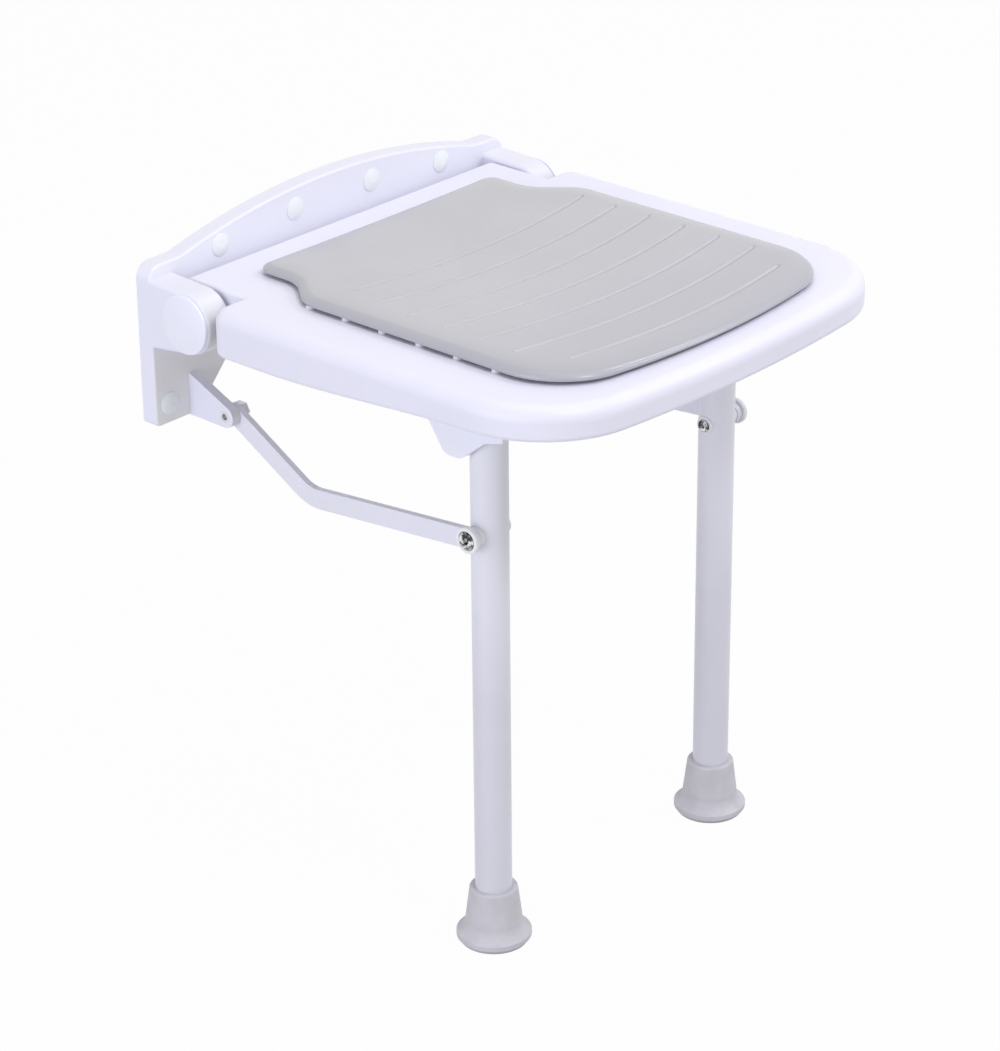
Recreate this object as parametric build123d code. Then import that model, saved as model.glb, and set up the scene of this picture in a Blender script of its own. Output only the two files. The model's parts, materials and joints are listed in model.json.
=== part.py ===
from build123d import *
import os
from math import ceil

# Folding shower chair. X runs to the right, Y towards the wall and Z up, in millimetres.
# The origin is on the wall face, in the middle of the chair and level with the seat hinge.

# Linkage, a parallelogram seen from the side: hinge, leg pivot, leg bolt and link bolt
hinge_height = 455.0
hinge_reach = 51.0
leg_reach = 290.4
leg_drop = 29.5
link_drop = 85.2
link_bend_ahead = 78.5
link_bend_drop = 45.0
link_bend_radius = 34.0
link_height = 15.5
link_thickness = 5.0
link_standoff = 16.85

# Wall plate
plate_inset = 5.0
plate_depth = 14.0
plate_skin = 4.0
plate_rib = 3.0
plate_rib_pitch = 45.0
shoulder_rise = 34.8
crown_rise = 57.0
crown_inset = 32.0
toe_drop = 93.5
toe_width = 45.0
hem_drop = 35.7
hem_inset = 97.5
plate_corner = 12.0
crown_blend = 24.0
hem_blend = 26.0
toe_corner = 5.0
plate_edge_round = 2.0

# Hinge ears and link gussets on the wall plate
ear_width = 24.5
ear_radius = 24.0
ear_edge_round = 3.5
ear_root_rise = 25.5
ear_root_drop = 30.0
gusset_inset = 35.0
gusset_thickness = 8.0
gusset_root = 36.5
gusset_tip_radius = 8.7

# Wall screws: distance from the middle and height over the hinge, for each pair
screw_outer_spread = 242.4
screw_outer_rise = 32.2
screw_inner_spread = 83.8
screw_inner_rise = 38.4
screw_lower_inset = 14.5
screw_lower_drop = 77.2
screw_hole_radius = 3.25
screw_seat_radius = 6.5
screw_seat_depth = 6.5
screw_boss_radius = 9.0
screw_cap_radius = 8.7
screw_cap_edge = 0.8
screw_cap_dome = 2.6
screw_cap_plug = 4.0
screw_cap_wall = 1.5

# Hinge pin, bush and cap
pin_radius = 6.0
pin_head_radius = 13.0
pin_head = 3.5
pin_chamfer = 0.8
pin_length_in_seat = 33.0
bush_radius = 9.0
bush_flange_radius = 12.5
bush_flange = 2.4
boss_radius = 13.0
cap_radius = 22.8
cap_edge = 2.0
cap_dome = 4.6
cap_rim_round = 0.9
cap_seat_radius = 17.0
cap_seat_depth = 9.0
cap_skirt = 5.0
cap_wall = 2.0

# Seat
seat_width = 399.0
seat_front = 421.0
seat_front_bow = 17.0
seat_rear = 19.5
seat_shoulder = 80.5
seat_rise = 22.5
seat_rear_drop = 14.5
seat_front_drop = 2.8
seat_sweep_start = 130.0
seat_sweep_end = 350.0
seat_corner = 83.0
seat_shoulder_round = 14.0
tongue_gap = 3.0
tongue_corner = 13.0
tongue_edge_round = 2.5
tongue_root_round = 6.0
seat_top_round = 11.0
seat_hem_round = 4.0
seat_wall = 7.0
seat_top_wall = 5.0
seat_rib = 3.0
seat_rib_pitch = 54.0
seat_cross_rib_pitch = 108.0
base_thickness = 3.0
base_recess = 2.3
base_screw_margin = 6.0
base_bead_width = 12.0
base_bead_rise = 1.2
base_bead_pitch = 36.0
base_bead_length = 150.0
base_bead_count = 5
base_bead_first = 118.0

# Seat pad and the drain ribs that carry it
pad_rear = 59.5
pad_front = 396.5
pad_front_bow = 18.5
pad_margin = 44.5
pad_neck_step = 31.5
pad_neck_start = 101.0
pad_neck_end = 134.0
pad_rear_corner = 15.0
pad_neck_round = 26.0
pad_corner = 50.0
pad_thickness = 7.2
pad_dish = 3.0
pad_top_round = 2.8
pad_foot_round = 1.2
groove_count = 7
groove_first = 163.5
groove_pitch = 33.6
groove_inset = 19.0
groove_last_inset = 36.0
groove_bow = 12.7
groove_width = 3.2
groove_depth = 1.3
drain_rib_count = 6
drain_rib_first = 137.0
drain_rib_pitch = 36.0
drain_rib_width = 7.0
drain_rib_rise = 2.4
drain_rib_inset = 1.2

# Legs, feet and leg brackets
tube_radius = 14.0
tube_wall = 1.6
tube_above_pivot = 9.0
plug_depth = 24.0
plug_head = 2.4
plug_inset = 0.3
plug_edge_round = 1.6
foot_height = 45.0
foot_sole = 9.0
foot_base_radius = 26.0
foot_flare_radius = 28.5
foot_flare_height = 7.0
foot_hollow_radius = 23.6
foot_hollow_height = 11.0
foot_neck_radius = 21.5
foot_neck_height = 18.5
foot_rim_radius = 18.2
foot_rim_round = 1.5
foot_tread_depth = 1.4
foot_tread_width = 2.4
foot_tread_radii = (11.0, 18.0)
foot_washer = 2.0
cheek_gap = 1.0
cheek_thickness = 7.0
cheek_rear = 57.0
cheek_front = 32.5
cheek_apex_rear = 23.0
cheek_apex_front = 7.5
cheek_apex_drop = 24.5
cheek_step = 15.0
cheek_step_drop = 6.0
cheek_nose_drop = 1.0
cheek_apex_round = 9.0
cheek_step_round = 12.0
web_thickness = 5.0
web_margin = 14.0
web_corner = 6.0
bracket_screw_margin = 7.0
bracket_screw_rear = 43.0
bracket_screw_front = 22.0

# Fasteners
pivot_bolt_radius = 4.0
pivot_head_radius = 7.5
pivot_head = 4.0
pivot_skin = 2.0
nut_flats = 13.0
nut_height = 6.0
leg_bolt_radius = 3.0
leg_head_radius = 7.2
leg_head = 2.8
leg_socket_flats = 5.0
leg_socket_depth = 1.8
leg_ring_radius = 10.0
leg_ring = 3.2
leg_ring_pocket = 2.0
leg_ring_round = 0.8
sleeve_head_radius = 4.9
sleeve_head = 1.8
sleeve_socket_flats = 3.5
spacer_radius = 7.0
saddle_radius = 6.8
saddle_rise = 1.2
link_bolt_radius = 4.0
link_sink_radius = 5.0
link_sink_depth = 2.2
link_socket_flats = 5.0
tapping_radius = 2.4
tapping_head_radius = 4.6
tapping_head = 2.6
tapping_grip = 11.0
pilot_spare = 0.5
tapping_boss_radius = 5.5
cross_slot = 1.2

# Clearances
running = 0.06
snug = 0.04
side_gap = 0.25
soft_gap = 0.3
panel_gap = 0.5
link_pivot_gap = 0.1

# Places worked out from the sizes above
floor = -hinge_height
seat_top = seat_rise
ceiling = seat_top - seat_top_wall
base_bottom = base_recess - seat_front_drop
base_top = base_bottom + base_thickness
plate_width = seat_width - 2 * plate_inset
tongue_width = plate_width - 2 * (ear_width + tongue_gap)
pad_width = seat_width - 2 * pad_margin
leg_y = -leg_reach
pivot_z = -leg_drop
bolt_z = pivot_z - link_drop
link_z = -link_drop
hinge_y = -hinge_reach
gusset_outer = plate_width / 2 - gusset_inset
gusset_inner = gusset_outer - gusset_thickness
link_outer = gusset_inner - side_gap
link_inner = link_outer - link_thickness
leg_x = link_inner - link_standoff
cheek_inner = tube_radius + cheek_gap
cheek_outer = cheek_inner + cheek_thickness
web_bottom = base_top - web_thickness
web_half = cheek_outer + web_margin
pad_bottom = seat_top + drain_rib_rise + soft_gap
tube_bottom = floor + foot_sole + foot_washer
tube_top = pivot_z + tube_above_pivot


def rod(radius, start, end, y, z):
    """A cylinder along X between two distances from the middle."""
    return extrude(Plane.YZ.offset(start) * Pos(y, z) * Circle(radius), end - start)


def stud(radius, x, y, bottom, top):
    """An upright cylinder."""
    return extrude(Pos(x, y, bottom) * Circle(radius), top - bottom)


def hexagon(flats, start, end, y, z):
    """A hexagonal prism along X."""
    side = Pos(y, z) * RegularPolygon(flats / 2, 6, major_radius=False)
    return extrude(Plane.YZ.offset(start) * side, end - start)


def rounded(face, radii):
    """The face with each corner named by its place rounded to its radius."""
    for (u, v), radius in radii:
        corner = min(face.vertices(), key=lambda p: abs(p.X - u) + abs(p.Y - v))
        face = fillet(corner, radius)
    return face


def both_sides(points):
    """Each point and its mirror image across the middle."""
    return [(side * u, v) for u, v in points for side in (-1, 1)]


def mirrored_corners(corners):
    """Rounding radii for corners that come in left and right pairs."""
    return [((side * u, v), radius) for (u, v), radius in corners for side in (-1, 1)]


def lines_within(half_span, pitch):
    """Evenly spaced places on both sides of zero, inside a half span."""
    count = ceil(half_span / pitch)
    return [k * pitch for k in range(-count, count + 1)]


# Wall plate


def plate_face(inset=0.0):
    """Front view of the plate, with its arched top and two toes."""
    half = plate_width / 2
    crown, toe, hem = half - crown_inset, half - toe_width, half - hem_inset
    lower = Polyline(
        (-crown, shoulder_rise), (-half, shoulder_rise), (-half, -toe_drop), (-toe, -toe_drop), (-hem, -hem_drop),
        (hem, -hem_drop), (toe, -toe_drop), (half, -toe_drop), (half, shoulder_rise), (crown, shoulder_rise),
    )
    arch = ThreePointArc((crown, shoulder_rise), (0, crown_rise), (-crown, shoulder_rise))
    corners = [
        ((half, shoulder_rise), plate_corner),
        ((crown, shoulder_rise), crown_blend),
        ((half, -toe_drop), toe_corner),
        ((toe, -toe_drop), toe_corner),
        ((hem, -hem_drop), hem_blend),
    ]
    face = rounded(make_face([lower, arch]), mirrored_corners(corners))
    return offset(face, -inset) if inset else face


def wall_screw_places():
    """Front-view places of the six wall screws."""
    return both_sides([
        (screw_outer_spread / 2, screw_outer_rise),
        (screw_inner_spread / 2, screw_inner_rise),
        (plate_width / 2 - screw_lower_inset, -screw_lower_drop),
    ])


def ear():
    """Right-hand hinge ear, a rounded block that reaches forward from the plate."""
    inner = plate_width / 2 - ear_width
    nose = Pos(hinge_y, 0) * Circle(ear_radius)
    root = Pos(-plate_depth / 2, (ear_root_rise - ear_root_drop) / 2) * Rectangle(
        plate_depth / 4, ear_root_rise + ear_root_drop)
    side = make_hull(nose.edges() + root.edges())
    body = extrude(Plane.YZ.offset(inner) * side, ear_width)
    faces = body.faces().sort_by(Axis.X)
    rims = [e for e in faces[0].edges() + faces[-1].edges() if e.center().Y < -plate_depth]
    return fillet(rims, ear_edge_round)


def gusset():
    """Right-hand triangular plate that holds the link's wall pivot."""
    tip = Pos(hinge_y, link_z) * Circle(gusset_tip_radius)
    root = Pos(-plate_depth / 2, -toe_drop + gusset_root / 2) * Rectangle(plate_depth / 4, gusset_root)
    side = make_hull(tip.edges() + root.edges())
    return extrude(Plane.YZ.offset(gusset_inner) * side, gusset_thickness)


def wall_plate():
    body = extrude(Plane.XZ * plate_face(), plate_depth)
    body = fillet(body.faces().sort_by(Axis.Y)[0].edges(), plate_edge_round)

    # Hollow back, with ribs and screw bosses left standing in it
    hollow = extrude(Plane.XZ * plate_face(plate_skin), plate_depth - plate_skin)
    tall = 2 * (crown_rise + toe_drop)
    for x in lines_within(plate_width / 2, plate_rib_pitch):
        hollow -= Pos(x, 0, 0) * Box(plate_rib, 2 * plate_depth, tall)
    for z in (0.0, -plate_rib_pitch):
        hollow -= Pos(0, 0, z) * Box(plate_width, 2 * plate_depth, plate_rib)
    for x, z in wall_screw_places():
        hollow -= extrude(Plane.XZ * Pos(x, z) * Circle(screw_boss_radius), plate_depth)
    body -= hollow

    for side in (ear(), gusset()):
        body += side + mirror(side, Plane.YZ)
    outer = plate_width / 2
    for side in (-1, 1):
        body -= rod(cap_seat_radius, side * (outer - cap_seat_depth), side * (outer + 1), hinge_y, 0)
        body -= rod(pin_radius + snug, side * (outer - ear_width - 1), side * outer, hinge_y, 0)
        body -= rod(link_bolt_radius + snug, side * (gusset_inner - 1), side * gusset_outer, hinge_y, link_z)
        sink = Cone(link_bolt_radius + snug, link_sink_radius + snug, link_sink_depth)
        turn = Rot(0, side * 90, 0)
        body -= Pos(side * (gusset_outer - link_sink_depth / 2), hinge_y, link_z) * turn * sink
    for x, z in wall_screw_places():
        body -= extrude(Plane.XZ * Pos(x, z) * Circle(screw_hole_radius), plate_depth)
        seat = Plane.XZ.offset(plate_depth - screw_seat_depth) * Pos(x, z) * Circle(screw_seat_radius)
        body -= extrude(seat, screw_seat_depth)
    return body


def screw_caps():
    """Domed covers that plug the wall-screw seats."""
    plug = screw_seat_radius - snug
    front = -plate_depth
    crest = front - screw_cap_dome
    profile = make_face([
        Line((0, front), (plug - screw_cap_wall, front)),
        Line((plug - screw_cap_wall, front), (plug - screw_cap_wall, front + screw_cap_plug)),
        Line((plug - screw_cap_wall, front + screw_cap_plug), (plug, front + screw_cap_plug)),
        Line((plug, front + screw_cap_plug), (plug, front)),
        Line((plug, front), (screw_cap_radius, front)),
        Line((screw_cap_radius, front), (screw_cap_radius, front - screw_cap_edge)),
        RadiusArc((screw_cap_radius, front - screw_cap_edge), (0, crest),
                  dome_radius(screw_cap_radius, screw_cap_dome - screw_cap_edge)),
        Line((0, crest), (0, front)),
    ])
    cap = revolve(profile, Axis.Y)
    return [Pos(x, 0, z) * cap for x, z in wall_screw_places()]


def dome_radius(half_width, rise):
    """Radius of an arc with this half width and rise."""
    return (half_width**2 + rise**2) / (2 * rise)


# Seat hinge, right-hand pieces


def hinge_pin():
    seat = plate_width / 2 - cap_seat_depth
    inner = tongue_width / 2 - pin_length_in_seat
    shank = rod(pin_radius, inner, seat, hinge_y, 0)
    head = rod(pin_head_radius, seat, seat + pin_head, hinge_y, 0)
    pin = shank + head
    ends = pin.faces().sort_by(Axis.X)
    return chamfer(ends[0].edges() + ends[-1].edges(), pin_chamfer)


def hinge_bush():
    face_x = tongue_width / 2
    inner = face_x - pin_length_in_seat
    body = rod(bush_radius, inner, face_x, hinge_y, 0)
    body += rod(bush_flange_radius, face_x, face_x + bush_flange, hinge_y, 0)
    return body - rod(pin_radius + running, inner - 1, face_x + bush_flange + 1, hinge_y, 0)


def hinge_cap():
    skirt = cap_seat_radius - snug
    profile = make_face([
        Line((0, 0), (0, skirt - cap_wall)),
        Line((0, skirt - cap_wall), (-cap_skirt, skirt - cap_wall)),
        Line((-cap_skirt, skirt - cap_wall), (-cap_skirt, skirt)),
        Line((-cap_skirt, skirt), (0, skirt)),
        Line((0, skirt), (0, cap_radius)),
        Line((0, cap_radius), (cap_edge, cap_radius)),
        RadiusArc((cap_edge, cap_radius), (cap_dome, 0), dome_radius(cap_radius, cap_dome - cap_edge)),
        Line((cap_dome, 0), (0, 0)),
    ])
    profile = rounded(profile, [((cap_edge, cap_radius), cap_rim_round)])
    return Pos(plate_width / 2, hinge_y, 0) * revolve(profile, Axis.X)


# Seat


def seat_inside(inset):
    """Plan inside the seat's wall: a narrow tongue between the ears, then the full width with a bowed front."""
    half, tongue = seat_width / 2, tongue_width / 2
    corner = -seat_front + seat_front_bow
    rim = Polyline(
        (-half, corner), (-half, -seat_shoulder), (-tongue, -seat_shoulder), (-tongue, -seat_rear),
        (tongue, -seat_rear), (tongue, -seat_shoulder), (half, -seat_shoulder), (half, corner),
    )
    bow = ThreePointArc((half, corner), (0, -seat_front), (-half, corner))
    corners = [
        ((half, corner), seat_corner),
        ((half, -seat_shoulder), seat_shoulder_round),
        ((tongue, -seat_shoulder), tongue_root_round),
        ((tongue, -seat_rear), tongue_corner),
    ]
    return offset(rounded(make_face([rim, bow]), mirrored_corners(corners)), -inset)


def seat_front_face():
    """Plan of the seat ahead of the ears."""
    half, corner = seat_width / 2, -seat_front + seat_front_bow
    rim = Polyline((-half, corner), (-half, -seat_shoulder), (half, -seat_shoulder), (half, corner))
    bow = ThreePointArc((half, corner), (0, -seat_front), (-half, corner))
    corners = [((half, corner), seat_corner), ((half, -seat_shoulder), seat_shoulder_round)]
    return rounded(make_face([rim, bow]), mirrored_corners(corners))


def bracket_screw_places():
    """Plan of the screws that hold both leg brackets."""
    reach = web_half - bracket_screw_margin
    return both_sides([
        (leg_x + dx, leg_y + dy) for dx in (-reach, reach) for dy in (bracket_screw_rear, -bracket_screw_front)
    ])


def base_screw_places():
    """Plan of the screws that hold the base panel."""
    edge = seat_wall + panel_gap + tapping_boss_radius + base_screw_margin
    return both_sides([
        (seat_corner, -seat_shoulder - 2 * edge),
        (seat_width / 2 - edge, -seat_shoulder - 3 * edge),
        (seat_width / 2 - edge, -seat_front + seat_corner),
        (seat_corner, -seat_front + seat_front_bow + edge),
    ])


def under_sweep():
    """Space under the seat's hem, which sweeps up from the hinge end to the front."""
    deep = 2 * seat_rear_drop
    rear, front = 0.0, -2 * seat_front
    hem = Spline(
        (-seat_sweep_start, -seat_rear_drop), (-seat_sweep_end, -seat_front_drop),
        tangents=[(-1, 0), (-1, 0)])
    side = make_face([
        Line((rear, -seat_rear_drop), (-seat_sweep_start, -seat_rear_drop)),
        hem,
        Line((-seat_sweep_end, -seat_front_drop), (front, -seat_front_drop)),
        Line((front, -seat_front_drop), (front, -deep)),
        Line((front, -deep), (rear, -deep)),
        Line((rear, -deep), (rear, -seat_rear_drop)),
    ])
    return extrude(Plane.YZ.offset(-seat_width) * side, 2 * seat_width)


def tongue():
    """The seat's rear end between the ears, with crisp sides and a rounded rear edge."""
    half, front = tongue_width / 2, -seat_shoulder - seat_top_round
    side = rounded(
        make_face(Polyline(
            (-seat_rear, -seat_rear_drop), (-seat_rear, seat_top), (front, seat_top), (front, -seat_rear_drop),
            close=True)),
        [((-seat_rear, seat_top), seat_top_round), ((-seat_rear, -seat_rear_drop), seat_hem_round)])
    body = extrude(Plane.YZ.offset(-half) * side, 2 * half)
    ends = body.faces().sort_by(Axis.X)
    rims = [e for e in ends[0].edges() + ends[-1].edges() if e.center().Y > front + seat_hem_round]
    return fillet(rims, tongue_edge_round)


def seat_shell():
    body = extrude(Pos(0, 0, -seat_rear_drop) * seat_front_face(), seat_rise + seat_rear_drop)
    body = fillet(body.faces().sort_by(Axis.Z)[-1].edges(), seat_top_round)
    body -= under_sweep()
    body = fillet(body.faces().sort_by(Axis.Z)[0].edges(), seat_hem_round)
    body += tongue()

    # Hollow underside, with ribs, hinge bosses and screw bosses down to the base panel
    inside = seat_inside(seat_wall)
    hollow = extrude(Pos(0, 0, -seat_rear_drop - 1) * inside, ceiling + seat_rear_drop + 1)
    room = extrude(Pos(0, 0, base_top) * inside, ceiling - base_top)
    rise = Pos(0, 0, (base_top + ceiling) / 2)
    ribs = [rise * Pos(x, -seat_front / 2, 0) * Box(seat_rib, seat_front, ceiling - base_top)
            for x in lines_within(seat_width / 2, seat_rib_pitch)]
    ribs += [rise * Pos(0, y - seat_front / 2, 0) * Box(seat_width, seat_rib, ceiling - base_top)
             for y in lines_within(seat_front / 2, seat_cross_rib_pitch)]
    inner = tongue_width / 2 - pin_length_in_seat
    ribs += [rod(boss_radius, side * (inner - seat_rib), side * tongue_width / 2, hinge_y, 0) for side in (-1, 1)]
    ribs += [stud(tapping_boss_radius, x, y, base_top, ceiling)
             for x, y in bracket_screw_places() + base_screw_places()]
    body -= hollow
    body += room & (ribs[0] + ribs[1:])

    for side in (-1, 1):
        body -= rod(bush_radius + snug, side * inner, side * (tongue_width / 2 + 1), hinge_y, 0)
    for x, y in bracket_screw_places() + base_screw_places():
        body -= stud(tapping_radius + snug, x, y, base_top - 1, base_top + tapping_grip + pilot_spare)
    return body + drain_ribs()


def drain_ribs():
    """Low ribs across the seat that hold the pad off it, so that water runs out under its edges."""
    length = pad_width - 2 * drain_rib_inset
    return [
        extrude(Pos(0, -drain_rib_first - k * drain_rib_pitch, seat_top) * SlotOverall(length, drain_rib_width),
                drain_rib_rise)
        for k in range(drain_rib_count)
    ]


def seat_base():
    """Panel that closes the underside ahead of the hinge, between the leg brackets."""
    clear = seat_wall + panel_gap
    plan = seat_inside(clear) - Rectangle(2 * seat_width, 2 * (seat_shoulder + clear))
    body = extrude(Pos(0, 0, base_bottom) * plan, base_thickness)
    for k in range(base_bead_count):
        y = -base_bead_first - k * base_bead_pitch
        bead = Pos(0, y, base_bottom - base_bead_rise) * SlotOverall(base_bead_length, base_bead_width)
        body += extrude(bead, base_bead_rise)
    for side in (-1, 1):
        window = Pos(side * leg_x, leg_y) * web_face(panel_gap)
        body -= extrude(Pos(0, 0, base_bottom - 1) * window, base_thickness + 2)
    for x, y in base_screw_places():
        body -= stud(tapping_radius + snug, x, y, base_bottom - 1, base_top + 1)
    return body


def tapping_screw(x, y, seat_z, end_z):
    """Pan-head screw driven upwards, with a cross slot."""
    head = stud(tapping_head_radius, x, y, seat_z - tapping_head, seat_z)
    head = fillet(head.faces().sort_by(Axis.Z)[0].edges(), tapping_head / 2)
    depth = tapping_head / 2
    for length, width in ((tapping_head_radius, cross_slot), (cross_slot, tapping_head_radius)):
        head -= Pos(x, y, seat_z - tapping_head + depth / 2) * Box(length, width, depth)
    return head + stud(tapping_radius, x, y, seat_z, end_z)


def seat_base_screws():
    return [tapping_screw(x, y, base_bottom, base_top + tapping_grip) for x, y in base_screw_places()]


def leg_bracket_screws():
    return [tapping_screw(x, y, web_bottom, base_top + tapping_grip) for x, y in bracket_screw_places()]


# Seat pad


def pad_face():
    """Plan of the pad: a narrow neck at the rear, flaring to the full width, with a bowed front."""
    half = pad_width / 2
    rear = half - pad_neck_step
    corner = -pad_front + pad_front_bow
    rim = Polyline(
        (-half, corner), (-half, -pad_neck_end), (-rear, -pad_neck_start), (-rear, -pad_rear),
        (rear, -pad_rear), (rear, -pad_neck_start), (half, -pad_neck_end), (half, corner),
    )
    bow = ThreePointArc((half, corner), (0, -pad_front), (-half, corner))
    corners = [
        ((half, corner), pad_corner),
        ((half, -pad_neck_end), pad_neck_round),
        ((rear, -pad_neck_start), pad_neck_round),
        ((rear, -pad_rear), pad_rear_corner),
    ]
    return rounded(make_face([rim, bow]), mirrored_corners(corners))


def pad_hollow(drop):
    """The space over the pad's dished top, or over the same surface lowered by a drop."""
    radius = dome_radius(pad_width / 2, pad_dish)
    axis_z = pad_bottom + pad_thickness - pad_dish + radius - drop
    round_bar = extrude(Plane.XZ * Pos(0, axis_z) * Circle(radius), 2 * seat_front)
    slab = Pos(0, -seat_front / 2, pad_bottom + pad_thickness) * Box(
        2 * seat_width, 2 * seat_front, 2 * pad_thickness)
    return round_bar & slab


def seat_pad():
    body = extrude(Pos(0, 0, pad_bottom) * pad_face(), pad_thickness + pad_dish)
    body -= pad_hollow(0)
    top = body.faces().sort_by(Axis.Z)[-1]
    body = fillet(top.edges(), pad_top_round)
    body = fillet(body.faces().sort_by(Axis.Z)[0].edges(), pad_foot_round)
    cutter = pad_hollow(groove_depth)
    for k in range(groove_count):
        half = pad_width / 2 - (groove_last_inset if k == groove_count - 1 else groove_inset)
        y = -groove_first - k * groove_pitch
        arc = ThreePointArc((-half, y + groove_bow), (0, y), (half, y + groove_bow))
        strip = Pos(0, 0, pad_bottom) * SlotArc(arc, groove_width)
        body -= extrude(strip, 2 * pad_thickness) & cutter
    return body


# Legs, brackets and links, right-hand pieces


def web_face(grow=0.0):
    """Plan of a leg bracket's top plate about the leg pivot."""
    depth = cheek_rear + cheek_front + 2 * grow
    plan = Pos(0, (cheek_rear - cheek_front) / 2) * Rectangle(2 * (web_half + grow), depth)
    return fillet(plan.vertices(), web_corner)


def leg_bracket():
    """Two cheeks that straddle the leg, under a plate that is screwed to the seat."""
    top = web_bottom - pivot_z
    cheek = make_face(Polyline(
        (cheek_rear, top), (cheek_apex_rear, -cheek_apex_drop), (cheek_apex_front, -cheek_apex_drop),
        (-cheek_step, -cheek_step_drop), (-cheek_front, -cheek_nose_drop), (-cheek_front, top), close=True))
    cheek = rounded(cheek, [
        ((cheek_apex_rear, -cheek_apex_drop), cheek_apex_round),
        ((cheek_apex_front, -cheek_apex_drop), cheek_apex_round),
        ((-cheek_step, -cheek_step_drop), cheek_step_round),
    ])
    body = extrude(Pos(leg_x, leg_y, web_bottom) * web_face(), web_thickness)
    for start in (leg_x + cheek_inner, leg_x - cheek_outer):
        body += extrude(Plane.YZ.offset(start) * Pos(leg_y, pivot_z) * cheek, cheek_thickness)
    body -= rod(pivot_bolt_radius + snug, leg_x - web_half, leg_x + cheek_outer - pivot_skin, leg_y, pivot_z)
    for x, y in bracket_screw_places():
        body -= stud(tapping_radius + snug, x, y, web_bottom - 1, base_top + 1)
    return body


def leg_pivot_bolt():
    """Bolt put in from the middle of the chair, ending inside the outer cheek."""
    seat = leg_x - cheek_outer
    head = rod(pivot_head_radius, seat - pivot_head, seat, leg_y, pivot_z)
    head = fillet(head.faces().sort_by(Axis.X)[0].edges(), pivot_head / 2)
    head -= hexagon(leg_socket_flats, seat - pivot_head, seat - pivot_head + leg_socket_depth, leg_y, pivot_z)
    return head + rod(pivot_bolt_radius, seat, leg_x + cheek_outer - pivot_skin, leg_y, pivot_z)


def leg_tube():
    section = Pos(leg_x, leg_y, tube_bottom) * (Circle(tube_radius) - Circle(tube_radius - tube_wall))
    body = extrude(section, tube_top - tube_bottom)
    reach = tube_radius + 1
    body -= rod(pivot_bolt_radius + running, leg_x - reach, leg_x + reach, leg_y, pivot_z)
    return body - rod(leg_bolt_radius + snug, leg_x - reach, leg_x + reach, leg_y, bolt_z)


def leg_plug():
    """End plug with the pivot bore."""
    inside = tube_radius - tube_wall - snug
    body = stud(inside, leg_x, leg_y, tube_top - plug_depth, tube_top)
    head = stud(tube_radius - plug_inset, leg_x, leg_y, tube_top, tube_top + plug_head)
    head = fillet(head.faces().sort_by(Axis.Z)[-1].edges(), plug_edge_round)
    body += head
    return body - rod(pivot_bolt_radius + running, leg_x - 2 * tube_radius, leg_x + 2 * tube_radius, leg_y, pivot_z)


def leg_foot():
    """Rubber tip with a flared base, a bore for the tube and a ringed tread."""
    bore = tube_radius + snug
    profile = make_face([
        Line((0, 0), (foot_base_radius, 0)),
        Line((foot_base_radius, 0), (foot_flare_radius, foot_flare_height / 2)),
        Line((foot_flare_radius, foot_flare_height / 2), (foot_flare_radius, foot_flare_height)),
        ThreePointArc(
            (foot_flare_radius, foot_flare_height),
            (foot_hollow_radius, foot_hollow_height),
            (foot_neck_radius, foot_neck_height)),
        Line((foot_neck_radius, foot_neck_height), (foot_rim_radius, foot_height)),
        Line((foot_rim_radius, foot_height), (bore, foot_height)),
        Line((bore, foot_height), (bore, foot_sole)),
        Line((bore, foot_sole), (0, foot_sole)),
        Line((0, foot_sole), (0, 0)),
    ])
    body = revolve(Plane.XZ * profile, Axis.Z)
    rim = body.edges().filter_by(GeomType.CIRCLE).group_by(Axis.Z)[-1].sort_by(SortBy.RADIUS)[-1]
    body = fillet(rim, foot_rim_round)
    for radius in foot_tread_radii:
        ring = Circle(radius + foot_tread_width / 2) - Circle(radius - foot_tread_width / 2)
        body -= extrude(ring, foot_tread_depth)
    return Pos(leg_x, leg_y, floor) * body


def leg_foot_washer():
    return stud(tube_radius - side_gap, leg_x, leg_y, floor + foot_sole, tube_bottom)


def link_bar():
    """Bent flat bar from the gusset to the leg, with round ends."""
    start = (hinge_y, link_z)
    bend = (hinge_y - link_bend_ahead, link_z - link_bend_drop)
    end = (leg_y, bolt_z)
    line = FilletPolyline(start, bend, end, radius=link_bend_radius)
    side = make_face(offset(line, link_height / 2, side=Side.BOTH).edges())
    body = extrude(Plane.YZ.offset(link_inner) * side, link_thickness)
    body -= rod(link_bolt_radius + running, link_inner - 1, link_outer + 1, *start)
    return body - rod(leg_bolt_radius + link_pivot_gap, link_inner - 1, link_outer + 1, *end)


def link_bolt():
    """Countersunk pivot bolt, flush with the gusset's outer face."""
    end = link_inner - side_gap - nut_height - 1
    body = rod(link_bolt_radius, end, gusset_outer, hinge_y, link_z)
    sink = Cone(link_bolt_radius, link_sink_radius, link_sink_depth)
    body += Pos(gusset_outer - link_sink_depth / 2, hinge_y, link_z) * Rot(0, 90, 0) * sink
    return body - hexagon(link_socket_flats, gusset_outer - link_sink_depth, gusset_outer, hinge_y, link_z)


def link_nut():
    """Nut on the inner end of the link's wall pivot."""
    start = link_inner - side_gap
    nut = hexagon(nut_flats, start - nut_height, start, hinge_y, link_z)
    return nut - rod(link_bolt_radius + snug, start - nut_height - 1, start + 1, hinge_y, link_z)


def leg_bolt():
    """Button-head bolt through the link, the spacer and the tube."""
    seat = link_outer + side_gap + leg_ring - leg_ring_pocket
    head = socket_head(leg_head_radius, leg_head, leg_socket_flats, seat, 1)
    return head + rod(leg_bolt_radius, leg_x, seat, leg_y, bolt_z)


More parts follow.
